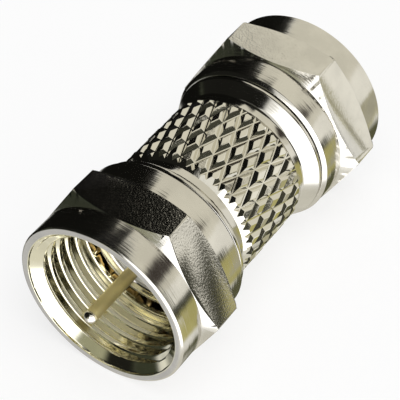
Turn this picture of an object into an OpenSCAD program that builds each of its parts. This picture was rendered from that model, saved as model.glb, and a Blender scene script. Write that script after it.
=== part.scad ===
// Double-ended F coaxial adapter: two free-turning hexagon coupling nuts on a
// short knurled barrel, with one solid contact pin running through both ends.
// The axis is X, the origin is the middle of the adapter, and it lies on the
// lower flats of its two nuts. All sizes are in millimetres.

/* [Overall] */
// Distance between the front rims of the two nuts
rim_to_rim = 21.9; // [21:0.1:26]
// How far each end of the contact pin stands out of its nut
pin_reach = 1.2; // [0.6:0.1:3]

/* [Coupling nut] */
// Size of the hexagon across its flats
nut_across_flats = 11; // [10.9:0.1:13]
// Length of a nut from its front rim to its rear face
nut_length = 6.4; // [5.8:0.1:7]
// Diameter of the round nose in front of the hexagon
nose_diameter = 11; // [10.6:0.1:12]
// Length of the round nose
nose_length = 1.85; // [1:0.05:2.4]
// Diameter of the turned collar behind the hexagon
collar_diameter = 10.7; // [10.4:0.1:11.6]
// Length of the turned collar
collar_length = 1.8; // [1.2:0.05:2]
// Angle of the turned bevel on the corners of the hexagon
bevel_angle = 27; // [15:1:35]
// Bevel on the front edge of the nose
nut_edge = 0.1; // [0.05:0.01:0.2]
// Bevel on the rear edge of the collar
collar_bevel = 0.2; // [0.05:0.01:0.3]

/* [Coupling thread] */
// Crest diameter of the inside thread, for a 3/8-32 socket
thread_crest_diameter = 8.7; // [8.66:0.01:8.9]
// Diameter of the mouth that leads into the thread
mouth_diameter = 9.96; // [9.6:0.02:10.2]
// Depth of the straight part of the mouth
mouth_land = 0.12; // [0.05:0.01:0.3]
// Depth at which the mouth reaches the thread
mouth_depth = 0.58; // [0.4:0.02:0.9]
// Depth at which the thread ends in its relief
thread_depth = 4.4; // [3.8:0.1:4.5]
// Room round the thread's crests in the relief behind the thread
relief_room = 0.45; // [0.42:0.01:0.5]

/* [Barrel] */
// Diameter of the journals that the nuts turn on
journal_diameter = 7.8; // [7.6:0.05:8]
// Diameter of the stop flange behind each nut
flange_diameter = 10.24; // [9.8:0.02:10.6]
// Length of the straight land on the flange
flange_land = 0.24; // [0.1:0.02:0.4]
// Length of the cone from the flange down to the neck
flange_cone = 0.6; // [0.4:0.05:1]
// Diameter of the plain neck on each side of the knurl
neck_diameter = 8.68; // [8.2:0.02:8.9]
// Bevel on the front edge of each journal
journal_edge = 0.15; // [0.05:0.01:0.25]

/* [Knurl] */
// Length of the knurled band between its bevels
knurl_length = 5.2; // [4:0.1:5.6]
// Length of the bevel from each end of the band down to the neck
knurl_bevel = 0.45; // [0.2:0.05:0.5]
// Diameter over the crests of the knurl
knurl_diameter = 9.36; // [9:0.02:9.6]
// Depth of the diamond pits
knurl_depth = 0.4; // [0.2:0.02:0.5]
// Number of diamonds round the band
knurl_count = 32; // [24:1:40]
// Length of one diamond along the band
knurl_pitch = 2.42; // [1.5:0.02:4]
// How far the diamonds' grid sits off the middle, towards end B
knurl_shift = -0.19; // [-0.6:0.01:0.6]
// How far the diamonds' grid is turned, in degrees
knurl_turn = -2.6; // [-5:0.1:5]

/* [Snap rings] */
// How far a fitted snap ring stands out of its journal
ring_stand = 0.4; // [0.3:0.01:0.42]
// How far a fitted snap ring reaches into its journal
ring_grip = 0.35; // [0.25:0.05:0.4]
// Thickness of a snap ring
ring_thickness = 0.5; // [0.4:0.05:0.6]
// Width of the gap where a snap ring is split
ring_gap = 1.4; // [0.8:0.1:2.5]

/* [Contact and insulators] */
// Diameter of the free ends of the contact pin
pin_diameter = 0.8; // [0.6:0.02:1]
// Diameter of the contact pin where an insulator grips it
pin_grip_diameter = 1.16; // [1.12:0.02:1.3]
// Diameter of the contact pin between the insulators
pin_middle_diameter = 1.5; // [1.2:0.05:2]
// Wall of the barrel between a snap ring groove and an insulator
groove_wall = 0.53; // [0.4:0.01:0.8]
// Length of an insulator
insulator_length = 2.6; // [2:0.1:3.4]
// How far an insulator lies below the front face of the barrel
insulator_recess = 0.15; // [0.05:0.05:0.4]
// Height of the shoulder in the barrel that an insulator seats on
seat_step = 0.4; // [0.3:0.05:0.8]

/* [Clearances] */
// Radial running clearance between a nut and its journal
nut_clearance = 0.05; // [0.03:0.01:0.08]
// End play between a nut and its snap ring
ring_play = 0.1; // [0.05:0.01:0.2]
// Gap between the rear face of a nut and the flange
flange_play = 0.08; // [0.05:0.01:0.5]
// Clearance of a snap ring in its groove, on every side
groove_clearance = 0.02; // [0.01:0.01:0.05]

/* [Hidden] */
$fn = 96;
// Overlap that lets one cut run out of another
cut = 1;
// Thickness of the lip inside the rear of a nut, which bears on the snap ring
lip_thickness = 0.8;
// Length of the journal in front of the snap ring groove
journal_nose = 0.4;
// How far the necks and the core pass in under the knurl
knurl_foot = 0.05;

half_length = rim_to_rim / 2;
across_corners = nut_across_flats / cos(30);
bevel_slope = tan(bevel_angle);
hex_start = nose_length;
hex_end = nut_length - collar_length;
lip_face = nut_length - lip_thickness;
ring_rear = lip_face - ring_play;
ring_front = ring_rear - ring_thickness;
groove_front = ring_front - groove_clearance;
groove_rear = ring_rear + groove_clearance;
ring_diameter = journal_diameter + 2 * ring_stand;
ring_bore = journal_diameter - 2 * ring_grip;
groove_diameter = ring_bore - 2 * groove_clearance;
relief_diameter = max(thread_crest_diameter, ring_diameter) + 2 * relief_room;
insulator_diameter = groove_diameter - 2 * groove_wall;
cavity_diameter = insulator_diameter - 2 * seat_step;
journal_front = groove_front - journal_nose;
flange_face = nut_length + flange_play;
cone_start = flange_face + flange_land;
neck_start = cone_start + flange_cone;
knurl_start = half_length - knurl_length / 2;
neck_end = knurl_start - knurl_bevel;
knurl_rows = ceil((knurl_length + 2 * (knurl_bevel + abs(knurl_shift))) / knurl_pitch);
insulator_front = journal_front + insulator_recess;
insulator_rear = insulator_front + insulator_length;

// Places a piece that is drawn along +Z from a nut's front rim at end A.
module at_end_a() {
    translate([-half_length, 0, 0])
        rotate([0, 90, 0])
            children();
}

// Places the same piece at end B, facing the other way.
module at_end_b() {
    mirror([1, 0, 0])
        at_end_a()
            children();
}

// A turned shape from a list of [depth, radius] points, closed along the axis.
module turned(profile) {
    last = len(profile) - 1;
    rotate_extrude()
        polygon(concat([[0, profile[0][0]]],
                       [for (p = profile) [p[1], p[0]]],
                       [[0, profile[last][0]]]));
}

// The hexagon between two turned cones that bevel its corners.
module bevelled_hexagon() {
    front_rise = (across_corners - nose_diameter) / 2 * bevel_slope;
    rear_rise = (across_corners - collar_diameter) / 2 * bevel_slope;
    intersection() {
        translate([0, 0, hex_start])
            linear_extrude(hex_end - hex_start)
                rotate(30)
                    circle(d = across_corners, $fn = 6);
        turned([[hex_start, nose_diameter / 2],
                [hex_start + front_rise, across_corners / 2],
                [hex_end - rear_rise, across_corners / 2],
                [hex_end, collar_diameter / 2]]);
    }
}

// The round parts of a nut: the nose in front and the collar behind.
module nut_blank() {
    nose_radius = nose_diameter / 2;
    collar_radius = collar_diameter / 2;
    turned([[0, nose_radius - nut_edge],
            [nut_edge, nose_radius],
            [hex_start, nose_radius],
            [hex_start, collar_radius],
            [nut_length - collar_bevel, collar_radius],
            [nut_length, collar_radius - collar_bevel]]);
}

// Everything that is bored out of a nut: mouth, thread, relief and lip.
module nut_bore() {
    mouth_radius = mouth_diameter / 2;
    crest_radius = thread_crest_diameter / 2;
    relief_radius = relief_diameter / 2;
    lip_radius = journal_diameter / 2 + nut_clearance;
    turned([[-cut, mouth_radius],
            [mouth_land, mouth_radius],
            [mouth_depth, crest_radius],
            [thread_depth, crest_radius],
            [thread_depth + (relief_radius - crest_radius), relief_radius],
            [lip_face, relief_radius],
            [lip_face, lip_radius],
            [nut_length + cut, lip_radius]]);
}

module coupling_nut() {
    color("silver")
        difference() {
            union() {
                nut_blank();
                bevelled_hexagon();
            }
            nut_bore();
        }
}

// Whether a corner of the knurl's half-diamond grid is a crest, or else a pit.
function knurl_crest(i, j) = (i + j + knurl_rows) % 2 == 0;

// Corner of the knurl at row i and column j of its half-diamond grid.
function knurl_point(i, j) =
    let (radius = knurl_diameter / 2 - (knurl_crest(i, j) ? 0 : knurl_depth),
         angle = knurl_turn + 180 * j / knurl_count,
         place = half_length + knurl_shift + knurl_pitch * (i - knurl_rows) / 2)
    [radius * cos(angle), radius * sin(angle), place];

// The two triangles of one grid square, split along the crest that crosses it.
function knurl_square(a, b, c, d, crest) =
    crest ? [[a, b, c], [a, c, d]] : [[a, b, d], [b, c, d]];

// Whole rows of diamond pits between crossed crests, closed by flat ends.
module knurled_rows() {
    columns = 2 * knurl_count;
    rows = 2 * knurl_rows;
    near_centre = (rows + 1) * columns;
    far_centre = near_centre + 1;
    points = [for (i = [0 : rows], j = [0 : columns - 1]) knurl_point(i, j)];
    centres = [for (side = [-1, 1])
        [0, 0, half_length + knurl_shift + side * knurl_pitch * knurl_rows / 2]];
    faces = [for (j = [0 : columns - 1])
        let (k = (j + 1) % columns)
        each concat([[near_centre, j, k],
                     [far_centre, rows * columns + k, rows * columns + j]],
                    [for (i = [0 : rows - 1])
                        each knurl_square(i * columns + j, (i + 1) * columns + j,
                                          (i + 1) * columns + k, i * columns + k,
                                          knurl_crest(i, j))])];
    polyhedron(concat(points, centres), faces);
}

// The knurled rows cut to length, with a bevel at each end down to the neck.
module knurled_band() {
    crest_radius = knurl_diameter / 2;
    slope = (crest_radius - neck_diameter / 2) / knurl_bevel;
    intersection() {
        knurled_rows();
        turned(both_ends([[neck_end - knurl_foot, neck_diameter / 2 - knurl_foot * slope],
                          [knurl_start + knurl_foot, crest_radius + knurl_foot * slope]]));
    }
}

// A turned outline given from a front rim to the middle, carried on to the other rim.
function both_ends(profile) =
    concat(profile, [for (i = [len(profile) - 1 : -1 : 0])
        [rim_to_rim - profile[i][0], profile[i][1]]]);

// The plain turned barrel, with a core under the knurl. Each neck runs a
// little way in under the band, where it fills the feet of the end pits.
module turned_barrel() {
    journal_radius = journal_diameter / 2;
    flange_radius = flange_diameter / 2;
    neck_radius = neck_diameter / 2;
    core_radius = knurl_diameter / 2 - knurl_depth - knurl_foot;
    turned(both_ends([[journal_front, journal_radius - journal_edge],
                      [journal_front + journal_edge, journal_radius],
                      [groove_front, journal_radius],
                      [groove_front, groove_diameter / 2],
                      [groove_rear, groove_diameter / 2],
                      [groove_rear, journal_radius],
                      [flange_face, journal_radius],
                      [flange_face, flange_radius],
                      [cone_start, flange_radius],
                      [neck_start, neck_radius],
                      [neck_end + knurl_foot, neck_radius],
                      [neck_end + knurl_foot, core_radius]]));
}

// The bores that seat the insulators and the air space between them.
module barrel_bore() {
    turned(both_ends([[journal_front - cut, insulator_diameter / 2],
                      [insulator_rear, insulator_diameter / 2],
                      [insulator_rear, cavity_diameter / 2]]));
}

module barrel() {
    color("lightgray")
        difference() {
            union() {
                at_end_a() turned_barrel();
                at_end_a() knurled_band();
            }
            at_end_a() barrel_bore();
        }
}

module snap_ring() {
    color("goldenrod")
        difference() {
            translate([0, 0, ring_front])
                cylinder(d = ring_diameter, h = ring_thickness);
            translate([0, 0, ring_front - cut])
                cylinder(d = ring_bore, h = ring_thickness + 2 * cut);
            translate([0, -ring_gap / 2, ring_front - cut])
                cube([ring_diameter, ring_gap, ring_thickness + 2 * cut]);
        }
}

module insulator() {
    color("white")
        difference() {
            translate([0, 0, insulator_front])
                cylinder(d = insulator_diameter, h = insulator_length);
            translate([0, 0, insulator_front - cut])
                cylinder(d = pin_grip_diameter, h = insulator_length + 2 * cut);
        }
}

// One half of the contact pin, from its round tip to the middle.
module pin_half() {
    tip_radius = pin_diameter / 2;
    translate([0, 0, tip_radius - pin_reach])
        sphere(r = tip_radius);
    translate([0, 0, tip_radius - pin_reach])
        cylinder(r = tip_radius, h = half_length + pin_reach - tip_radius);
    translate([0, 0, insulator_front])
        cylinder(d = pin_grip_diameter, h = half_length - insulator_front);
    translate([0, 0, insulator_rear])
        cylinder(d = pin_middle_diameter, h = half_length - insulator_rear);
}

module contact_pin() {
    color("darkkhaki") {
        at_end_a() pin_half();
        at_end_b() pin_half();
    }
}

module coupling_nut_a() {
    at_end_a() coupling_nut();
}

module coupling_nut_b() {
    at_end_b() coupling_nut();
}

module snap_ring_a() {
    at_end_a() snap_ring();
}

module snap_ring_b() {
    at_end_b() snap_ring();
}

module insulator_a() {
    at_end_a() insulator();
}

module insulator_b() {
    at_end_b() insulator();
}

barrel();
coupling_nut_a();
coupling_nut_b();
snap_ring_a();
snap_ring_b();
insulator_a();
insulator_b();
contact_pin();
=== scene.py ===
"""The looks of a double-ended F coaxial adapter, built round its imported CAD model.

Every shape is drawn in millimetres along +X from the front rim of end A, and is
placed in the adapter's own frame, in metres, when it is finished.
"""

from __future__ import annotations

import logging
import math
import random
from collections.abc import Iterable, Mapping, Sequence
from dataclasses import dataclass, field
from enum import Enum
from typing import Any

import bmesh
import bpy
from bmesh.types import BMEdge, BMFace, BMVert
from mathutils import Matrix, Vector

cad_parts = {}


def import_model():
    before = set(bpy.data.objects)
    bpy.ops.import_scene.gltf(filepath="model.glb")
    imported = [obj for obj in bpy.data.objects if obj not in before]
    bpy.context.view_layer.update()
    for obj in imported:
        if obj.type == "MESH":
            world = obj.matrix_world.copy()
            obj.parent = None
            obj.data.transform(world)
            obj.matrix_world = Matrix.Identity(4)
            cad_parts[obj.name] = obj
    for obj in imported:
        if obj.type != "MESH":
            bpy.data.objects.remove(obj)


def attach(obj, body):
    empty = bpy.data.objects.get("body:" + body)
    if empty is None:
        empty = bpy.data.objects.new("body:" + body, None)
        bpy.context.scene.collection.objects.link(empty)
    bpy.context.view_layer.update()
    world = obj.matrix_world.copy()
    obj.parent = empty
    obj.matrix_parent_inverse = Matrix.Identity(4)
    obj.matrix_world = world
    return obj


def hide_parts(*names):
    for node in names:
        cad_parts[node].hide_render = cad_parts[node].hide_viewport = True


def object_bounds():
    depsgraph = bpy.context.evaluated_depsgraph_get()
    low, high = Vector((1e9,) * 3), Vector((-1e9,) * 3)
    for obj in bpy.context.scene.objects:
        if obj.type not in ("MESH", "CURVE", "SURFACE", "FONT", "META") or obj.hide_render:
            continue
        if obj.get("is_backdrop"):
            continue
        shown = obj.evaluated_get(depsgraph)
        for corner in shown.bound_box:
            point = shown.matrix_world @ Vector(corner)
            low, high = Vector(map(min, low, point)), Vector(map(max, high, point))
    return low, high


LOG = logging.getLogger("adapter")
MM = 0.001
HALF_LENGTH = 10.95
STEPS = 192
NEAR = 1e-4
AXIS = Vector((1.0, 0.0, 0.0))

Colour = tuple[float, float, float]
Point = tuple[float, float, float]
Profile = Sequence[tuple[float, float]]


class End(Enum):
    """The two ends of the adapter, by the letter in their CAD names."""

    A = "a"
    B = "b"

    @property
    def place(self) -> Matrix:
        """Takes a shape drawn from this end's rim to the adapter's frame."""
        turned = Matrix.Rotation(math.pi if self is End.B else 0.0, 4, "Z")
        return turned @ Matrix.Translation((-HALF_LENGTH, 0.0, 0.0))


def linked(name: str, data: bpy.types.ID) -> bpy.types.Object:
    """Makes an object of its data and links it to the scene."""
    made = bpy.data.objects.new(name, data)
    bpy.context.scene.collection.objects.link(made)
    return made


def meshed(name: str, mesh: bmesh.types.BMesh) -> bpy.types.Object:
    """Makes an object of a mesh, which is freed, and links it to the scene."""
    data = bpy.data.meshes.new(name)
    mesh.to_mesh(data)
    mesh.free()
    return linked(name, data)


# --------------------------------------------------------------------------- shapes


class Shape:
    """A mesh being turned, cut and rounded, in millimetres."""

    def __init__(self) -> None:
        """Starts an empty shape."""
        self.mesh = bmesh.new()

    def wire(
        self, profile: Profile, rounded: Mapping[int, float], closed: bool = False
    ) -> list[BMVert | BMEdge]:
        """Draws an outline above the axis and rounds some of its corners.

        Args:
            profile: Depth and radius of each corner.
            rounded: How far the rounding of a corner reaches, by its index.
            closed: Whether the last corner joins the first.

        Returns:
            The outline's vertices and edges.
        """
        mesh = self.mesh
        verts = [mesh.verts.new((x, 0.0, r)) for x, r in profile]
        pairs = list(zip(verts, verts[1:]))
        if closed:
            pairs.append((verts[-1], verts[0]))
        edges = [mesh.edges.new(pair) for pair in pairs]
        drawn = {*verts, *edges}
        for index, reach in rounded.items():
            others = {*mesh.verts, *mesh.edges} - drawn
            bmesh.ops.bevel(
                mesh,
                geom=[verts[index]],
                offset=reach,
                segments=3 if reach < 0.2 else 12,
                profile=0.5,
                affect="VERTICES",
                material=-1,
            )
            drawn = {*mesh.verts, *mesh.edges} - others
        return list(drawn)

    def spin(
        self,
        outline: Iterable[BMVert | BMEdge],
        steps: int = STEPS,
        sweep: float = math.tau,
        advance: float = 0.0,
        finish: int = 0,
    ) -> None:
        """Spins an outline round the axis.

        Args:
            outline: Vertices and edges to spin.
            steps: Number of steps.
            sweep: The whole angle.
            advance: How far the outline moves along the axis in all.
            finish: Index of the finish that the faces take.
        """
        before = set(self.mesh.faces)
        full = abs(sweep - math.tau) < 1e-9 and not advance
        bmesh.ops.spin(
            self.mesh,
            geom=list(outline),
            cent=(0.0, 0.0, 0.0),
            axis=AXIS,
            dvec=(advance / steps, 0.0, 0.0),
            angle=sweep,
            steps=steps,
            use_merge=full,
            use_duplicate=False,
        )
        for face in self.mesh.faces:
            if face not in before:
                face.material_index = finish

    def slice(self, point: Vector, normal: Vector) -> list[BMEdge]:
        """Cuts away what lies beyond a plane.

        Args:
            point: A point of the plane.
            normal: The side that is cut away.

        Returns:
            The edges that lie in the cut.
        """
        mesh = self.mesh
        made = bmesh.ops.bisect_plane(
            mesh,
            geom=[*mesh.verts, *mesh.edges, *mesh.faces],
            dist=1e-6,
            plane_co=point,
            plane_no=normal,
            clear_outer=True,
        )
        return [e for e in made["geom_cut"] if isinstance(e, BMEdge)]

    def rings(
        self, loop: Iterable[BMEdge], stations: Profile, finish: int = 0
    ) -> list[BMEdge]:
        """Extrudes a round loop through further depths and radii.

        Args:
            loop: Edges of a round open border.
            stations: Depth and radius of each further ring.
            finish: Index of the finish that the faces take.

        Returns:
            The edges of the last ring.
        """
        edges = list(loop)
        for depth, radius in stations:
            made = bmesh.ops.extrude_edge_only(self.mesh, edges=edges)["geom"]
            verts = [g for g in made if isinstance(g, BMVert)]
            edges = [g for g in made if isinstance(g, BMEdge) and g.is_boundary]
            for face in (g for g in made if isinstance(g, BMFace)):
                face.material_index = finish
            for vert in verts:
                grown = radius / math.hypot(vert.co.y, vert.co.z)
                vert.co = (depth, vert.co.y * grown, vert.co.z * grown)
        return edges

    def border(self, depth: float) -> list[BMEdge]:
        """The open edges that lie at one depth."""
        return [
            e
            for e in self.mesh.edges
            if e.is_boundary and all(abs(v.co.x - depth) < NEAR for v in e.verts)
        ]

    def close(self, depth: float, finish: int = 0) -> None:
        """Fills the flat ring between two open round borders at one depth.

        Args:
            depth: The depth of both borders.
            finish: Index of the finish that the faces take.
        """
        made = bmesh.ops.triangle_fill(
            self.mesh,
            edges=self.border(depth),
            use_beauty=True,
            normal=AXIS,
        )
        for face in (g for g in made["geom"] if isinstance(g, BMFace)):
            face.material_index = finish

    def bridge(self, *loops: Iterable[BMEdge], finish: int = 0) -> None:
        """Joins two open round borders of equal steps with a ring of faces.

        Args:
            loops: The two borders.
            finish: Index of the finish that the faces take.
        """
        edges = [e for loop in loops for e in loop]
        for face in bmesh.ops.bridge_loops(self.mesh, edges=edges)["faces"]:
            face.material_index = finish

    def merge(self, distance: float = 1e-5) -> None:
        """Merges vertices that lie together, such as the seam of a spin."""
        bmesh.ops.remove_doubles(self.mesh, verts=self.mesh.verts, dist=distance)

    def ease(self, edges: Iterable[BMEdge], width: float) -> None:
        """Rounds sharp edges with two faces across each.

        Args:
            edges: The edges.
            width: How far the rounding reaches on each side.
        """
        bmesh.ops.bevel(
            self.mesh,
            geom=list(edges),
            offset=width,
            segments=2,
            profile=0.5,
            affect="EDGES",
            material=-1,
            clamp_overlap=False,
        )

    def take(self, other: "Shape") -> None:
        """Moves the whole mesh of another shape into this one."""
        data = bpy.data.meshes.new("taken")
        other.mesh.to_mesh(data)
        other.mesh.free()
        self.mesh.from_mesh(data)
        bpy.data.meshes.remove(data)

    def finished(
        self, name: str, place: Matrix, sharp: float = 28.0
    ) -> bpy.types.Object:
        """Turns the shape into an object in the adapter's frame.

        Args:
            name: Name of the object.
            place: Where the shape goes, in millimetres.
            sharp: Angle between faces, in degrees, from which an edge stays sharp.

        Returns:
            The object, at the origin, with its place in its mesh.
        """
        bmesh.ops.recalc_face_normals(self.mesh, faces=self.mesh.faces)
        bmesh.ops.transform(
            self.mesh, matrix=Matrix.Scale(MM, 4) @ place, verts=self.mesh.verts
        )
        for face in self.mesh.faces:
            face.smooth = True
        piece = meshed(name, self.mesh)
        piece.data.set_sharp_from_angle(angle=math.radians(sharp))
        return piece


def rectangle(front: float, rear: float, bore: float, outside: float) -> Profile:
    """The outline of a plain ring, from the front of its bore round to the rear."""
    return [(front, bore), (front, outside), (rear, outside), (rear, bore)]


def both_ends(profile: Profile) -> list[tuple[float, float]]:
    """Carries an outline given from one rim to the middle on to the other rim."""
    return [*profile, *((2 * HALF_LENGTH - x, r) for x, r in reversed(profile))]


# --------------------------------------------------------------------------- nodes


@dataclass(frozen=True)
class Number:
    """A number that changes over a surface, with arithmetic that adds Math nodes."""

    graph: "Graph"
    socket: bpy.types.NodeSocket

    def maths(self, operation: str, *others: "Number | float") -> "Number":
        """Adds a Math node whose first value is this number.

        Args:
            operation: The Math node's operation.
            others: Its further values.

        Returns:
            The node's result.
        """
        return self.graph.maths(operation, self, *others)

    def __add__(self, other: "Number | float") -> "Number":
        """This number plus another."""
        return self.maths("ADD", other)

    def __sub__(self, other: "Number | float") -> "Number":
        """This number less another."""
        return self.maths("SUBTRACT", other)

    def __rsub__(self, other: float) -> "Number":
        """Another number less this one."""
        return self.graph.maths("SUBTRACT", other, self)

    def __mul__(self, other: "Number | float") -> "Number":
        """This number times another."""
        return self.maths("MULTIPLY", other)

    def __truediv__(self, other: "Number | float") -> "Number":
        """This number divided by another."""
        return self.maths("DIVIDE", other)

    def __pow__(self, other: "Number | float") -> "Number":
        """This number to a power."""
        return self.maths("POWER", other)

    def __abs__(self) -> "Number":
        """This number without its sign."""
        return self.maths("ABSOLUTE")

    __radd__ = __add__
    __rmul__ = __mul__

    def step(self, low: float, high: float) -> "Number":
        """Rises smoothly from 0 to 1 as this number goes from low to high."""
        node = self.graph.node(
            "ShaderNodeMapRange",
            {"interpolation_type": "SMOOTHSTEP"},
            {"Value": self, "From Min": low, "From Max": high},
        )
        return Number(self.graph, node.outputs["Result"])

    def band(self, middle: float, half: float, feather: float) -> "Number":
        """1 within half of the middle, fading to 0 over the feather's width."""
        away = abs(self - middle)
        return 1.0 - away.step(half - feather / 2, half + feather / 2)


class Graph:
    """A node tree, and the few ways in which this script adds nodes to it."""

    def __init__(self, tree: bpy.types.NodeTree) -> None:
        """Empties a node tree.

        Args:
            tree: The tree of a material or a world.
        """
        self.tree = tree
        tree.nodes.clear()

    def node(
        self,
        kind: str,
        settings: Mapping[str, Any] | None = None,
        values: Mapping[str, Any] | None = None,
    ) -> bpy.types.Node:
        """Adds a node of any type.

        Args:
            kind: The node's type.
            settings: Properties to set first.
            values: Numbers, colours or links for its inputs, by identifier.

        Returns:
            The node.
        """
        made = self.tree.nodes.new(kind)
        for name, value in (settings or {}).items():
            setattr(made, name, value)
        sockets = {s.identifier: s for s in made.inputs}
        for name, value in (values or {}).items():
            if isinstance(value, Number):
                value = value.socket
            if isinstance(value, bpy.types.NodeSocket):
                self.tree.links.new(value, sockets[name])
            else:
                sockets[name].default_value = value
        return made

    def maths(self, operation: str, *values: Number | float) -> Number:
        """Adds a Math node and returns its result."""
        names = ("Value", "Value_001", "Value_002")
        node = self.node(
            "ShaderNodeMath", {"operation": operation}, dict(zip(names, values))
        )
        return Number(self, node.outputs["Value"])

    def vector(
        self, x: Number | float, y: Number | float, z: Number | float
    ) -> bpy.types.NodeSocket:
        """Joins three numbers into a vector."""
        joined = self.node("ShaderNodeCombineXYZ", values={"X": x, "Y": y, "Z": z})
        return joined.outputs["Vector"]

    def split(self, vector: bpy.types.NodeSocket) -> list[Number]:
        """Splits a vector into its three numbers."""
        node = self.node("ShaderNodeSeparateXYZ", values={"Vector": vector})
        return [Number(self, node.outputs[axis]) for axis in "XYZ"]

    def noise(
        self,
        vector: bpy.types.NodeSocket,
        scale: float,
        detail: float = 2.0,
        w: Number | None = None,
    ) -> Number:
        """Adds fractal noise.

        Args:
            vector: Where it is read.
            scale: Its scale.
            detail: Number of octaves after the first.
            w: A fourth coordinate.

        Returns:
            The noise, about 0.5.
        """
        settings = {"noise_dimensions": "3D" if w is None else "4D"}
        values = {"Vector": vector, "Scale": scale, "Detail": detail}
        if w is not None:
            values["W"] = w
        node = self.node("ShaderNodeTexNoise", settings, values)
        return Number(self, node.outputs["Fac"])

    def mix(
        self, factor: Number | float, first: Any, second: Any
    ) -> bpy.types.NodeSocket:
        """Mixes two colours."""
        node = self.node(
            "ShaderNodeMix",
            {"data_type": "RGBA"},
            {
                "Factor_Float": factor,
                "A_Color": (*first, 1.0) if isinstance(first, tuple) else first,
                "B_Color": (*second, 1.0) if isinstance(second, tuple) else second,
            },
        )
        return next(s for s in node.outputs if s.identifier == "Result_Color")

    def surface(self, shader: bpy.types.NodeSocket, owner: str = "Material") -> None:
        """Gives the material, or the world, its surface."""
        self.node(f"ShaderNodeOutput{owner}", values={"Surface": shader})


def new_material(name: str) -> tuple[bpy.types.Material, Graph]:
    """Makes a material and its empty graph."""
    material = bpy.data.materials.new(name)
    material.use_nodes = True
    return material, Graph(material.node_tree)


@dataclass(frozen=True)
class Place:
    """Where a point of a piece lies, in millimetres and about the adapter's axis."""

    x: Number
    y: Number
    z: Number
    radius: Number
    point: bpy.types.NodeSocket
    round: bpy.types.NodeSocket

    @classmethod
    def of(cls, graph: Graph) -> "Place":
        """Reads the place from Object coordinates.

        Args:
            graph: The material's graph.

        Returns:
            The place.
        """
        raw = graph.node("ShaderNodeTexCoord").outputs["Object"]
        scaled = graph.node(
            "ShaderNodeVectorMath",
            {"operation": "SCALE"},
            {"Vector": raw, "Scale": 1 / MM},
        ).outputs["Vector"]
        x, y, z = graph.split(scaled)
        radius = ((y * y + z * z) ** 0.5).maths("MAXIMUM", 0.01)
        ring = graph.vector(x, y / radius, z / radius)
        return cls(x, y, z, radius, scaled, ring)


# --------------------------------------------------------------------------- finishes


@dataclass(frozen=True)
class Look:
    """What a pattern gives to the shader of a finish."""

    colour: Any
    roughness: Number | float
    height: Number
    metallic: Number | float = 1.0


@dataclass(frozen=True)
class Finish:
    """A finish with a pattern of its own, worked out from the place on the piece."""

    name: str
    colour: Colour = (0.72, 0.70, 0.65)
    roughness: float = 0.14
    metallic: float = 1.0

    PALER, DULLER = 1.04, 0.93

    def stained(self, graph: Graph, stain: Number) -> bpy.types.NodeSocket:
        """The colour of this finish, paler and duller in patches."""
        pale = tuple(min(1.0, c * self.PALER) for c in self.colour)
        dull = tuple(c * self.DULLER for c in self.colour)
        return graph.mix(stain.step(0.35, 0.65), pale, dull)

    def look(self, graph: Graph, place: Place) -> Look:
        """The pattern of this finish.

        Args:
            graph: The material's graph.
            place: The place on the piece.

        Returns:
            What the shader takes from the pattern.
        """
        raise NotImplementedError

    def build(self) -> bpy.types.Material:
        """Makes the material."""
        material, graph = new_material(self.name)
        look = self.look(graph, Place.of(graph))
        bump = graph.node(
            "ShaderNodeBump",
            values={"Height": look.height, "Strength": 1.0, "Distance": MM},
        )
        shader = graph.node(
            "ShaderNodeBsdfPrincipled",
            values={
                "Base Color": look.colour,
                "Metallic": look.metallic,
                "Roughness": look.roughness,
                "Normal": bump.outputs["Normal"],
            },
        )
        graph.surface(shader.outputs["BSDF"])
        return material


@dataclass(frozen=True)
class Turned(Finish):
    """Plating over a turned surface, with fine tool lines round the axis."""

    line_height: float = 0.0052
    line_width: float = 0.11
    run: float = 2.2
    wander: float = 0.006

    COARSE_WIDTH, COARSE_RUN, COARSE_HEIGHT = 3.3, 0.8, 1.6
    WAVES, STAINS = 0.7, 0.45

    def lines(self, graph: Graph, place: Place, width: float, run: float) -> Number:
        """Noise drawn out round the axis.

        Args:
            graph: The material's graph.
            place: The place on the piece.
            width: Width of a line, in millimetres.
            run: How often a line changes round the axis; more is shorter.

        Returns:
            The noise, about 0.5.
        """
        along, across, upward = graph.split(place.round)
        vector = graph.vector(along * (1 / width), across * run, upward * run)
        return graph.noise(vector, 1.0, 2.0, place.radius * (1 / width))

    def look(self, graph: Graph, place: Place) -> Look:
        """Tool lines, with slow waves of the surface under them."""
        fine = self.lines(graph, place, self.line_width, self.run)
        width, run = self.line_width * self.COARSE_WIDTH, self.run * self.COARSE_RUN
        coarse = self.lines(graph, place, width, run)
        waves = graph.noise(place.point, self.WAVES, 1.0)
        stain = graph.noise(place.point, self.STAINS, 3.0)
        height = (
            fine * self.line_height
            + coarse * (self.line_height * self.COARSE_HEIGHT)
            + waves * self.wander
        )
        return Look(
            colour=self.stained(graph, stain),
            roughness=self.roughness * (0.75 + fine * 0.5),
            height=height,
            metallic=self.metallic,
        )


@dataclass(frozen=True)
class Flat(Finish):
    """Plating over a drawn hexagon flat, with fine grain and draw lines."""

    grain_height: float = 0.0062
    grain_size: float = 0.105
    line_height: float = 0.0006
    wander: float = 0.004

    ALONG, ACROSS = 0.35, 9.0
    WAVES, STAINS = 0.5, 0.6

    def look(self, graph: Graph, place: Place) -> Look:
        """Grain with draw lines along the axis."""
        grain = graph.noise(place.point, 1 / self.grain_size, 2.0)
        stretched = graph.vector(
            place.x * self.ALONG, place.y * self.ACROSS, place.z * self.ACROSS
        )
        drawn = graph.noise(stretched, 1.0, 2.0)
        stain = graph.noise(place.point, self.STAINS, 3.0)
        waves = graph.noise(place.point, self.WAVES, 1.0)
        height = (
            grain * self.grain_height
            + drawn * self.line_height
            + waves * self.wander
        )
        return Look(
            colour=self.stained(graph, stain),
            roughness=self.roughness * (0.7 + grain * 0.6),
            height=height,
            metallic=self.metallic,
        )


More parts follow.
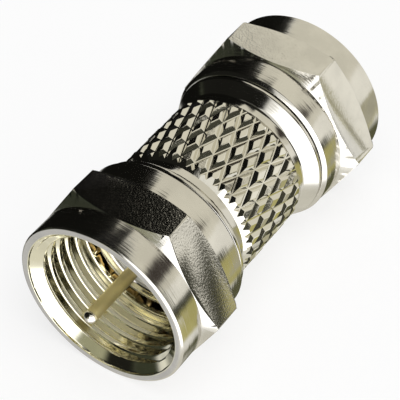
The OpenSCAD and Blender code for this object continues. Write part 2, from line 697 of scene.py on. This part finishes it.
@dataclass(frozen=True)
class Pressed(Finish):
    """Plating over the rolled faces of the knurl."""

    dent_height: float = 0.004
    grain_height: float = 0.0006
    # Radii over which the painted shade low in the grooves, with its grime, fades out.
    shade_and_grime_below: float = 4.22
    undarkened_above: float = 4.5

    DENTS, GRAIN = 3.5, 14.0
    # Dulling and share of the painted shade low in the grooves, with a little grime; the
    # added roughness is the grime's.
    GRIME_DULL, GRIME_SHARE, GRIME_ROUGH = 0.72, 0.6, 0.08

    def look(self, graph: Graph, place: Place) -> Look:
        """Small uneven places, and a darker colour low in the grooves: painted shade, with
        a little grime.
        """
        dents = graph.noise(place.point, self.DENTS, 2.0)
        grain = graph.noise(place.point, self.GRAIN, 1.0)
        # Darkens the colour low in the grooves: painted shade in the recesses, with a
        # little grime.
        low = 1.0 - place.radius.step(self.shade_and_grime_below, self.undarkened_above)
        shade_and_grime = low * dents.step(0.4, 0.7)
        dull = tuple(c * self.GRIME_DULL for c in self.colour)
        rough = self.roughness * (0.8 + grain * 0.4)
        return Look(
            colour=graph.mix(shade_and_grime * self.GRIME_SHARE, self.colour, dull),
            roughness=rough + shade_and_grime * self.GRIME_ROUGH,
            height=dents * self.dent_height + grain * self.grain_height,
            metallic=self.metallic,
        )


@dataclass(frozen=True)
class PinBrass(Turned):
    """The contact pin: drawn shaft, polished and lightly plated tips."""

    tip_colour: Colour = (0.74, 0.71, 0.64)
    tip_roughness: float = 0.05
    tip_start: float = 11.72
    tip_end: float = 11.8

    def look(self, graph: Graph, place: Place) -> Look:
        """The turned pattern, fading out over the round tips."""
        plain = super().look(graph, place)
        tip = abs(place.x).step(self.tip_start, self.tip_end)
        return Look(
            colour=graph.mix(tip, plain.colour, self.tip_colour),
            roughness=plain.roughness * (1.0 - tip) + tip * self.tip_roughness,
            height=plain.height * (1.0 - tip),
            metallic=self.metallic,
        )


# --------------------------------------------------------------------------- pieces


@dataclass(frozen=True)
class Finishes:
    """The materials of the adapter, one of each."""

    turned: bpy.types.Material
    flat: bpy.types.Material
    bore: bpy.types.Material
    barrel: bpy.types.Material
    knurl: bpy.types.Material
    pin: bpy.types.Material
    bronze: bpy.types.Material
    polymer: bpy.types.Material

    @classmethod
    def made(cls) -> "Finishes":
        """Makes all the materials."""
        return cls(
            turned=Turned("nickel_turned").build(),
            flat=Flat("nickel_flat", roughness=0.1).build(),
            bore=Turned(
                "nickel_bore",
                colour=(0.87, 0.84, 0.68),
                roughness=0.08,
                line_height=0.0008,
                wander=0.003,
            ).build(),
            barrel=Turned("nickel_barrel", roughness=0.1, line_height=0.003).build(),
            knurl=Pressed(
                "nickel_knurl", colour=(0.78, 0.76, 0.69), roughness=0.09
            ).build(),
            pin=PinBrass(
                "pin_brass", colour=(0.86, 0.77, 0.46), roughness=0.34
            ).build(),
            bronze=Turned(
                "spring_bronze", colour=(0.60, 0.44, 0.24), roughness=0.32
            ).build(),
            polymer=Turned(
                "white_polymer",
                colour=(0.88, 0.87, 0.83),
                roughness=0.42,
                metallic=0.0,
            ).build(),
        )


def deliver(
    piece: bpy.types.Object,
    body: str,
    node: str,
    finishes: Sequence[bpy.types.Material],
) -> None:
    """Hands a finished piece to the frame.

    Args:
        piece: The piece.
        body: The CAD body that it rides on.
        node: The CAD node that it stands for.
        finishes: Its materials, in the order of its faces' indices.
    """
    for finish in finishes:
        piece.data.materials.append(finish)
    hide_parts(node)
    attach(piece, body)
    LOG.info("%s: %d faces on %s", piece.name, len(piece.data.polygons), body)


@dataclass
class CouplingNut:
    """A hexagon nut with a round nose, a turned collar and an inside thread."""

    end: End
    flat_distance: float = 5.5
    corner_radius: float = 6.325
    nose_radius: float = 5.49
    nose_length: float = 1.85
    collar_radius: float = 5.35
    collar_start: float = 4.6
    length: float = 6.4
    edge: float = 0.1
    collar_bevel: float = 0.2
    bevel_slope: float = math.tan(math.radians(27.0))
    mouth_radius: float = 4.98
    mouth_land: float = 0.12
    mouth_depth: float = 0.58
    crest_radius: float = 4.35
    root_radius: float = 4.76
    pitch: float = 25.4 / 32
    thread_depth: float = 4.4
    relief_radius: float = 4.8
    lip_face: float = 5.6
    lip_radius: float = 3.95
    thread_steps: int = 120

    OUTSIDE, FLATS, BORE = range(3)
    LAND, WELD, SOFT, CORNER_SOFT = 0.2, 0.012, 0.03, 0.06
    CREST_SOFT, ROOT_SOFT, TURNS = 0.025, 0.02, 9

    def blank(self, shape: Shape) -> None:
        """Turns the outside, from just inside the front rim to the rear face.

        Args:
            shape: The shape to add it to.
        """
        front_rise = (self.corner_radius - self.nose_radius) * self.bevel_slope
        rear_rise = (self.corner_radius - self.collar_radius) * self.bevel_slope
        profile = [
            (0.0, self.mouth_radius + self.LAND),
            (0.0, self.nose_radius - self.edge),
            (self.edge, self.nose_radius),
            (self.nose_length, self.nose_radius),
            (self.nose_length + front_rise, self.corner_radius),
            (self.collar_start - rear_rise, self.corner_radius),
            (self.collar_start, self.collar_radius),
            (self.length - self.collar_bevel, self.collar_radius),
            (self.length, self.collar_radius - self.collar_bevel),
            (self.length, self.collar_radius - self.collar_bevel - self.LAND),
        ]
        soft = dict.fromkeys((1, 2, 4, 5, 7, 8), self.SOFT)
        soft |= dict.fromkeys((4, 5), self.CORNER_SOFT)
        outline = shape.wire(profile, soft)
        shape.spin(outline, finish=self.OUTSIDE)

    def mill_flats(self, shape: Shape) -> None:
        """Cuts the six flats and rounds their borders.

        Args:
            shape: The turned blank.
        """
        borders: list[BMEdge] = []
        for side in range(6):
            angle = side * math.tau / 6
            normal = Vector((0.0, -math.sin(angle), math.cos(angle)))
            cut = shape.slice(normal * self.flat_distance, normal)
            verts = list({v for e in cut for v in e.verts})
            bmesh.ops.remove_doubles(shape.mesh, verts=verts, dist=self.WELD)
            level = self.flat_distance
            cut = [
                e
                for e in shape.mesh.edges
                if e.is_boundary
                and all(abs(v.co.dot(normal) - level) < NEAR for v in e.verts)
            ]
            made = bmesh.ops.edgeloop_fill(shape.mesh, edges=cut, mat_nr=self.FLATS)
            borders += [e for f in made["faces"] for e in f.edges]
        shape.ease(borders, self.SOFT)

    def thread_radius(self, depth: float, radius: float) -> float:
        """Keeps the thread inside the mouth cone and the ramp of the relief.

        Args:
            depth: Depth of a point below the rim.
            radius: Radius of the plain thread there.

        Returns:
            The radius of the bore there.
        """
        slope = (self.mouth_radius - self.crest_radius) / (
            self.mouth_depth - self.mouth_land
        )
        mouth = self.mouth_radius - max(0.0, depth - self.mouth_land) * slope
        relief = self.crest_radius + (depth - self.thread_depth)
        return max(radius, mouth, min(relief, self.relief_radius))

    def cut_thread(self, shape: Shape) -> None:
        """Spins one turn's outline along the axis into the thread, and trims its ends.

        Args:
            shape: The shape to add it to, empty so far.
        """
        height = self.root_radius - self.crest_radius
        flank = height * math.tan(math.radians(30.0))
        root = self.pitch / 8
        crest = (self.pitch - root - 2 * flank) / 2
        profile = [
            (0.0, self.crest_radius),
            (crest, self.crest_radius),
            (crest + flank, self.root_radius),
            (crest + flank + root, self.root_radius),
            (crest + 2 * flank + root, self.crest_radius),
            (self.pitch, self.crest_radius),
        ]
        start = -2 * self.pitch
        crest_soft, root_soft = self.CREST_SOFT, self.ROOT_SOFT
        outline = shape.wire(
            [(start + x, r) for x, r in profile],
            {1: crest_soft, 2: root_soft, 3: root_soft, 4: crest_soft},
        )
        long_edges = [
            e for e in outline if isinstance(e, BMEdge) and e.calc_length() > 0.06
        ]
        bmesh.ops.subdivide_edges(shape.mesh, edges=long_edges, cuts=4)
        shape.spin(
            [*shape.mesh.verts, *shape.mesh.edges],
            steps=self.thread_steps,
            advance=self.pitch,
            finish=self.BORE,
        )
        turn = [*shape.mesh.verts, *shape.mesh.edges, *shape.mesh.faces]
        for count in range(1, self.TURNS):
            made = bmesh.ops.duplicate(shape.mesh, geom=turn)["geom"]
            bmesh.ops.translate(
                shape.mesh,
                vec=(self.pitch * count, 0.0, 0.0),
                verts=[g for g in made if isinstance(g, BMVert)],
            )
        shape.merge(NEAR)
        for vert in shape.mesh.verts:
            plain = math.hypot(vert.co.y, vert.co.z)
            grown = self.thread_radius(vert.co.x, plain) / plain
            vert.co = (vert.co.x, vert.co.y * grown, vert.co.z * grown)
        relief_start = self.thread_depth + self.relief_radius - self.crest_radius
        mouth = shape.slice(AXIS * self.mouth_land, -AXIS)
        relief = shape.slice(AXIS * relief_start, AXIS)
        rim = self.mouth_radius
        shape.rings(
            mouth,
            [(0.05, rim), (0.015, rim + 0.01), (0.0, rim + 0.035), (0.0, rim + 0.08)],
            self.BORE,
        )
        shape.rings(
            relief,
            [
                (self.lip_face, self.relief_radius),
                (self.lip_face, self.lip_radius + 0.02),
                (self.lip_face + 0.02, self.lip_radius),
                (self.length - self.SOFT, self.lip_radius),
                (self.length, self.lip_radius + self.SOFT),
                (self.length, self.lip_radius + 0.08),
            ],
            self.BORE,
        )

    def build(self, finishes: Finishes) -> None:
        """Builds the nut and hands it to the frame."""
        outside, bore = Shape(), Shape()
        self.blank(outside)
        self.mill_flats(outside)
        self.cut_thread(bore)
        bore.take(outside)
        bore.close(0.0, self.OUTSIDE)
        bore.close(self.length, self.OUTSIDE)
        letter = self.end.value
        piece = bore.finished(f"nut_{letter}_plated", self.end.place)
        deliver(
            piece,
            f"nut_{letter}",
            f"coupling_nut_{letter}",
            [finishes.turned, finishes.flat, finishes.bore],
        )


@dataclass
class Knurl:
    """The diamond knurl: raised diamonds with flat tops between crossed grooves.

    `rise` gives the width and the height of each step from a groove up to a top.
    """

    start: float = 8.35
    length: float = 5.2
    bevel: float = 0.45
    foot_radius: float = 4.34
    radius: float = 4.68
    count: int = 30
    pitch: float = 2.425
    shift: float = 0.06
    turn: float = -4.7
    depth: float = 0.215
    wall: float = 0.6
    overlap: float = 0.05
    jitter: float = 0.01
    seed: int = 11
    rise: Profile = (
        (0.03, 0.0),
        (0.09, 0.095),
        (0.09, 0.085),
        (0.03, 0.025),
        (0.02, 0.01),
    )

    def add_rows(self, shape: Shape) -> None:
        """Spins a plain tube, splits it along the grooves and raises the diamonds.

        Args:
            shape: The shape to add it to, empty so far.
        """
        mesh = shape.mesh
        columns = 2 * self.count
        rows = math.ceil((self.length + 2 * self.bevel) / self.pitch) + 2
        centre = HALF_LENGTH + self.shift
        first = centre - self.pitch * rows / 2
        foot = self.radius - self.depth
        line = [(first + self.pitch * k / 2, foot) for k in range(2 * rows + 1)]
        shape.spin(shape.wire(line, {}), steps=columns)
        shape.merge()
        middles: set[BMVert] = set()
        for vert in mesh.verts:
            row = round((vert.co.x - centre) * 2 / self.pitch)
            column = round(math.atan2(-vert.co.y, vert.co.z) / (math.tau / columns))
            if (row + column) % 2:
                middles.add(vert)
        for face in list(mesh.faces):
            groove = [v for v in face.verts if v not in middles]
            bmesh.ops.connect_verts(mesh, verts=groove)
        bmesh.ops.dissolve_verts(mesh, verts=[v for v in middles if not v.is_boundary])
        phase = Matrix.Rotation(math.radians(self.turn), 3, "X")
        bmesh.ops.rotate(mesh, verts=mesh.verts, matrix=phase)
        spread = random.Random(self.seed)
        for vert in mesh.verts:
            vert.co += Vector(spread.uniform(-1, 1) * self.jitter for _ in range(3))
        bmesh.ops.recalc_face_normals(mesh, faces=mesh.faces)
        diamonds = [f for f in mesh.faces if len(f.verts) == 4]
        for width, height in self.rise:
            bmesh.ops.inset_individual(
                mesh,
                faces=diamonds,
                thickness=width,
                depth=height,
                use_even_offset=True,
            )

    def cut_bevels(self, shape: Shape) -> None:
        """Bevels both ends of the closed band with a ring of flat cuts.

        Args:
            shape: The closed band.
        """
        slope = math.atan2(self.radius - self.foot_radius, self.bevel)
        for side in (-1.0, 1.0):
            end = HALF_LENGTH + side * self.length / 2
            for column in range(2 * self.count):
                turn = Matrix.Rotation((column + 0.5) * math.pi / self.count, 3, "X")
                point = turn @ Vector((end, 0.0, self.radius))
                tilt = Vector((side * math.sin(slope), 0.0, math.cos(slope)))
                cut = shape.slice(point, turn @ tilt)
                bmesh.ops.holes_fill(shape.mesh, edges=cut)

    def add_to(self, shape: Shape, finish: int) -> None:
        """Builds the band, closed by a plain tube inside.

        Args:
            shape: The shape to add it to, empty so far.
            finish: Index of the finish that its faces take.
        """
        self.add_rows(shape)
        near = self.start - self.bevel - self.overlap
        far = 2 * HALF_LENGTH - near
        shape.slice(AXIS * near, -AXIS)
        shape.slice(AXIS * far, AXIS)
        tube = self.radius - self.depth - self.wall
        loops = [
            shape.rings(shape.border(depth), [(depth, tube)]) for depth in (near, far)
        ]
        shape.bridge(*loops)
        self.cut_bevels(shape)
        for face in shape.mesh.faces:
            face.material_index = finish


@dataclass
class Barrel:
    """The turned barrel with its journals, flanges, cones, necks and knurl."""

    front: float = 4.58
    journal_radius: float = 3.9
    journal_edge: float = 0.15
    groove_front: float = 4.98
    groove_rear: float = 5.52
    groove_radius: float = 3.53
    flange_face: float = 6.48
    flange_radius: float = 5.12
    cone_start: float = 6.72
    neck_start: float = 7.32
    neck_radius: float = 4.34
    seat_radius: float = 3.0
    seat_bevel: float = 0.06
    seat_end: float = 7.33
    cavity_radius: float = 2.6
    core_room: float = 0.1
    knurl: Knurl = field(default_factory=Knurl)

    PLAIN, KNURLED = range(2)

    def body(self, shape: Shape) -> None:
        """Turns the barrel without its knurl.

        Args:
            shape: The shape to add it to, empty so far.
        """
        under = self.knurl.start - self.knurl.bevel + self.knurl.overlap
        core = self.knurl.radius - self.knurl.depth - self.core_room
        half = [
            (self.seat_end, self.cavity_radius),
            (self.seat_end, self.seat_radius),
            (self.front + self.seat_bevel, self.seat_radius),
            (self.front, self.seat_radius + self.seat_bevel),
            (self.front, self.journal_radius - self.journal_edge),
            (self.front + self.journal_edge, self.journal_radius),
            (self.groove_front, self.journal_radius),
            (self.groove_front, self.groove_radius),
            (self.groove_rear, self.groove_radius),
            (self.groove_rear, self.journal_radius),
            (self.flange_face, self.journal_radius),
            (self.flange_face, self.flange_radius),
            (self.cone_start, self.flange_radius),
            (self.neck_start, self.neck_radius),
            (under, self.neck_radius),
            (under, core),
        ]
        profile = both_ends(half)
        last = len(profile) - 1
        soft = {4: 0.04, 5: 0.04, 6: 0.03, 9: 0.03, 11: 0.05, 12: 0.06, 13: 0.15}
        soft |= {last - k: reach for k, reach in soft.items()}
        outline = shape.wire(profile, soft, closed=True)
        shape.spin(outline, finish=self.PLAIN)

    def build(self, finishes: Finishes) -> None:
        """Builds the barrel and hands it to the frame."""
        band, shape = Shape(), Shape()
        self.knurl.add_to(band, self.KNURLED)
        self.body(shape)
        shape.take(band)
        piece = shape.finished("barrel_plated", End.A.place, sharp=20.0)
        deliver(
            piece,
            "barrel",
            "barrel",
            [finishes.barrel, finishes.knurl],
        )


@dataclass
class SnapRing:
    """A split spring ring in its groove, in front of the lip of a nut."""

    end: End
    front: float = 5.0
    rear: float = 5.5
    bore_radius: float = 3.55
    radius: float = 4.3
    gap: float = 1.4
    soft: float = 0.06

    def build(self, finishes: Finishes) -> None:
        """Builds the ring and hands it to the frame."""
        shape = Shape()
        corners = rectangle(self.front, self.rear, self.bore_radius, self.radius)
        outline = shape.wire(corners, dict.fromkeys(range(4), self.soft), closed=True)
        middle = (self.bore_radius + self.radius) / 2
        half_gap = math.asin(self.gap / 2 / middle)
        bmesh.ops.rotate(
            shape.mesh,
            verts=shape.mesh.verts,
            matrix=Matrix.Rotation(math.pi + half_gap, 3, "X"),
        )
        shape.spin(outline, steps=120, sweep=math.tau - 2 * half_gap)
        bmesh.ops.holes_fill(
            shape.mesh, edges=[e for e in shape.mesh.edges if e.is_boundary]
        )
        letter = self.end.value
        piece = shape.finished(f"snap_ring_{letter}_spring", self.end.place)
        deliver(
            piece, "barrel", f"snap_ring_{letter}", [finishes.bronze]
        )


@dataclass
class Insulator:
    """A round white insulator that holds the pin on the axis."""

    end: End
    front: float = 4.73
    rear: float = 7.33
    radius: float = 3.0
    hole_radius: float = 0.58
    hole_soft: float = 0.05
    edge_soft: float = 0.12

    def build(self, finishes: Finishes) -> None:
        """Builds the insulator and hands it to the frame."""
        shape = Shape()
        corners = rectangle(self.front, self.rear, self.hole_radius, self.radius)
        reaches = (self.hole_soft, self.edge_soft, self.edge_soft, self.hole_soft)
        outline = shape.wire(corners, dict(enumerate(reaches)), closed=True)
        shape.spin(outline, steps=96)
        letter = self.end.value
        piece = shape.finished(f"insulator_{letter}_turned", self.end.place)
        deliver(
            piece,
            "barrel",
            f"insulator_{letter}",
            [finishes.polymer],
        )


@dataclass
class ContactPin:
    """The solid pin that runs through both ends."""

    reach: float = 1.2
    radius: float = 0.4
    grip_start: float = 4.73
    grip_radius: float = 0.58
    middle_start: float = 7.33
    middle_radius: float = 0.75

    def build(self, finishes: Finishes) -> None:
        """Builds the pin and hands it to the frame."""
        shape = Shape()
        profile = both_ends(
            [
                (-self.reach, 0.0),
                (-self.reach, self.radius),
                (self.grip_start, self.radius),
                (self.grip_start, self.grip_radius),
                (self.middle_start, self.grip_radius),
                (self.middle_start, self.middle_radius),
            ]
        )
        last = len(profile) - 1
        tip = self.radius * 0.9999
        outline = shape.wire(profile, {1: tip, last - 1: tip})
        shape.spin(outline, steps=64)
        shape.merge(2e-4)
        piece = shape.finished("contact_pin_drawn", End.A.place)
        deliver(piece, "barrel", "contact_pin", [finishes.pin])


# --------------------------------------------------------------------------- studio


@dataclass(frozen=True)
class Panel:
    """A card or a soft box of the tent, by the directions that it covers."""

    name: str
    azimuth: tuple[float, float]
    elevation: tuple[float, float]
    light: Colour
    feather: float = 6.0

    def mask(self, azimuth: Number, elevation: Number) -> Number:
        """How much of this panel is seen in a direction.

        Args:
            azimuth: Degrees from +X towards +Y.
            elevation: Degrees above the horizon.

        Returns:
            1 on the panel, 0 off it.
        """
        middle = sum(self.azimuth) / 2
        half = (self.azimuth[1] - self.azimuth[0]) / 2
        away = (azimuth - middle).maths("WRAP", 180.0, -180.0)
        level = sum(self.elevation) / 2
        height = (self.elevation[1] - self.elevation[0]) / 2
        return away.band(0.0, half, self.feather) * elevation.band(
            level, height, self.feather
        )


PANELS = (
    Panel("ground", (-200, 160), (-100, -52), (0.72, 0.70, 0.62), 14),
    Panel("ceiling", (-200, 200), (64, 100), (0.03, 0.03, 0.022), 6),
    Panel("side_gap", (-96, -67), (-16, 70), (0.06, 0.06, 0.045), 4),
    Panel("soft_box", (-190, -90), (-46, 34), (2.2, 2.2, 2.2), 8),
    Panel("wall", (-67, 33), (-3, 63), (0.78, 0.75, 0.64), 5),
    Panel("wall_glow", (-66, -34), (-2, 17), (0.98, 0.96, 0.88), 4),
    Panel("wall_gap", (-68, -46), (27, 46), (0.05, 0.04, 0.035), 7),
    Panel("room", (98, 182), (-4, 64), (0.012, 0.012, 0.01), 8),
    Panel("room_glow", (158, 182), (-4, 20), (0.36, 0.36, 0.26), 8),
    Panel("room_foot", (96, 150), (-24, 0), (0.04, 0.045, 0.03), 6),
    Panel("flag_right", (34, 104), (-34, 100), (0.006, 0.006, 0.005), 3),
    Panel("flag_near", (31, 60), (41, 72), (0.006, 0.006, 0.005), 3),
    Panel("flag_top", (4, 62), (55, 100), (0.012, 0.012, 0.012), 6),
    Panel("under_right", (28, 112), (-56, -34), (0.30, 0.30, 0.28), 10),
    Panel("rim_card", (112, 155), (-60, -24), (0.60, 0.60, 0.60), 12),
    Panel("horizon", (-67, -30), (-14, -5), (0.34, 0.33, 0.27), 5),
    Panel("horizon_dark", (-80, -53), (-16, -2), (0.06, 0.06, 0.045), 4),
    Panel("wall_foot", (-52, -36), (-10, 4), (0.97, 0.95, 0.87), 3),
    Panel("table", (-65, -28), (-44, -12), (0.50, 0.46, 0.18), 7),
    Panel("table_grey", (-47, -30), (-36, -12), (0.45, 0.43, 0.33), 6),
    Panel("table_dark", (-34, 28), (-62, -38), (0.10, 0.10, 0.05), 8),
)


@dataclass
class Studio:
    """Floor, light tent, white air, lamp and camera round the adapter."""

    floor_level: float
    floor_radius: float = 2.0
    floor_paint: Colour = (0.9, 0.9, 0.9)
    tent_radius: float = 0.4
    tent_light: Colour = (0.9, 0.89, 0.84)
    air_light: Colour = (0.6, 0.6, 0.6)
    shadow: float = 0.3
    lamp_size: float = 0.5
    lamp_power: float = 1.6
    lamp_place: Point = (-0.1, -0.15, 0.5)
    lens: float = 132.7
    shift: tuple[float, float] = (-0.0037, 0.0040)
    camera_place: Point = (-0.051939, -0.033852, 0.061915)
    camera_aim: Point = (0.58528, 0.38744, -0.71228)

    def floor(self) -> None:
        """Lays a plain pale floor that keeps a soft shadow."""
        mesh = bmesh.new()
        bmesh.ops.create_circle(
            mesh,
            cap_ends=True,
            segments=64,
            radius=self.floor_radius,
            matrix=Matrix.Translation((0.0, 0.0, self.floor_level)),
        )
        ground = meshed("floor", mesh)
        material, graph = new_material("pale_floor")
        colour = (*self.floor_paint, 1)
        paint = graph.node("ShaderNodeBsdfDiffuse", values={"Color": colour})
        white = graph.node("ShaderNodeEmission", values={"Color": (1, 1, 1, 1)})
        seen = self.seen(graph) * (1.0 - self.shadow)
        mixed = graph.node(
            "ShaderNodeMixShader",
            values={
                "Fac": seen,
                "Shader": paint.outputs["BSDF"],
                "Shader_001": white.outputs["Emission"],
            },
        )
        graph.surface(mixed.outputs["Shader"])
        ground.data.materials.append(material)
        ground.visible_glossy = False
        ground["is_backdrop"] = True

    @staticmethod
    def seen(graph: Graph) -> Number:
        """1 for the rays of the camera, of gloss and of clear materials."""
        path = graph.node("ShaderNodeLightPath")
        camera, glossy, clear = (
            Number(graph, path.outputs[name])
            for name in ("Is Camera Ray", "Is Glossy Ray", "Is Transmission Ray")
        )
        return camera.maths("MAXIMUM", glossy).maths("MAXIMUM", clear)

    def tent(self) -> None:
        """Hangs the tent of cards and soft boxes that the metal reflects."""
        mesh = bmesh.new()
        bmesh.ops.create_uvsphere(
            mesh, u_segments=48, v_segments=24, radius=self.tent_radius
        )
        tent = meshed("light_tent", mesh)
        material, graph = new_material("light_tent")
        raw = graph.node("ShaderNodeTexCoord").outputs["Object"]
        x, y, z = graph.split(raw)
        turn = 180.0 / math.pi
        azimuth = graph.maths("ARCTAN2", y, x) * turn
        elevation = graph.maths("ARCTAN2", z, (x * x + y * y) ** 0.5) * turn
        light: Any = self.tent_light
        for panel in PANELS:
            light = graph.mix(panel.mask(azimuth, elevation), light, panel.light)
        glow = graph.node("ShaderNodeEmission", values={"Color": light})
        graph.surface(glow.outputs["Emission"])
        material.cycles.emission_sampling = "NONE"
        tent.data.materials.append(material)
        tent.visible_camera = False
        tent.visible_diffuse = False
        tent.visible_shadow = False
        tent.visible_transmission = False
        tent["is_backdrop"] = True

    def world(self) -> None:
        """Surrounds the set with plain white."""
        world = bpy.data.worlds.new("studio")
        bpy.context.scene.world = world
        world.use_nodes = True
        graph = Graph(world.node_tree)
        seen = self.seen(graph)
        air = graph.node(
            "ShaderNodeBackground",
            values={
                "Color": graph.mix(seen, self.air_light, (1.0, 1.0, 1.0)),
                "Strength": 1.0,
            },
        )
        graph.surface(air.outputs["Background"], owner="World")

    def lamp(self) -> None:
        """Hangs one large soft lamp over the floor."""
        data = bpy.data.lights.new("top_soft_box", "AREA")
        data.shape = "DISK"
        data.size = self.lamp_size
        data.energy = self.lamp_power
        lamp = linked("top_soft_box", data)
        lamp.location = self.lamp_place
        lamp.rotation_mode = "QUATERNION"
        lamp.rotation_quaternion = lamp.location.to_track_quat("Z", "Y")
        lamp.visible_glossy = False
        lamp.visible_camera = False

    def camera(self) -> None:
        """Sets up the camera over the near end, looking down along the adapter."""
        data = bpy.data.cameras.new("camera")
        data.sensor_width = 36.0
        data.lens = self.lens
        data.shift_x, data.shift_y = self.shift
        data.clip_start, data.clip_end = 0.005, 10.0
        camera = linked("camera", data)
        camera.location = self.camera_place
        aim = Vector(self.camera_aim)
        camera.rotation_mode = "QUATERNION"
        camera.rotation_quaternion = aim.to_track_quat("-Z", "Y")
        bpy.context.scene.camera = camera

    def build(self) -> None:
        """Builds the whole set."""
        self.floor()
        self.tent()
        self.world()
        self.lamp()
        self.camera()
        bpy.context.scene.view_settings.view_transform = "Standard"


def main() -> None:
    """Builds the adapter's pieces round the CAD frame, and the studio round them."""
    logging.basicConfig(level=logging.INFO, format="%(name)s: %(message)s")
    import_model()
    cad_low, cad_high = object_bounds()
    Studio(floor_level=cad_low.z).build()
    finishes = Finishes.made()
    for end in End:
        CouplingNut(end).build(finishes)
        SnapRing(end).build(finishes)
        Insulator(end).build(finishes)
    Barrel().build(finishes)
    ContactPin().build(finishes)


if __name__ == "__main__":
    main()
